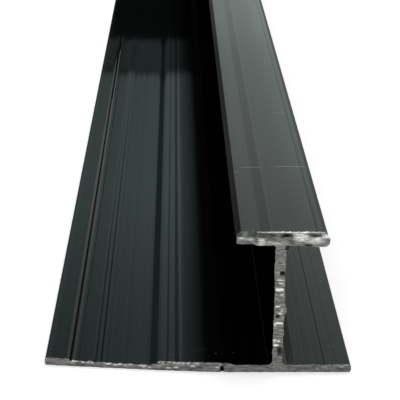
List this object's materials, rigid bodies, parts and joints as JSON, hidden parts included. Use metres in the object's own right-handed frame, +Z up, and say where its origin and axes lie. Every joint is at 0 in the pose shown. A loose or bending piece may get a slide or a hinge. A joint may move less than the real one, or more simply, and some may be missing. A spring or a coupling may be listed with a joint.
{
  "type": "aluminium extrusion profile",
  "caption": "Straight black anodised aluminium bar of offset I section: a wide thin base, an off-centre web and a narrow bevelled head, with open channels that take the edge of a panel.",
  "frame": {"origin": "on the floor, under the middle of the base and half way along the bar", "axes": "+Y along the bar, away from the hand-sawn end; +X across the base, towards the edge that is nearer to the web; +Z up, from base to head"},
  "size_m": [0.06, 1, 0.03],
  "materials": {
    "anodised": "black anodised, satin, bare metal on the sawn ends"
  },
  "bodies": {
    "root": {"profile": "anodised"}
  },
  "joints": []
}
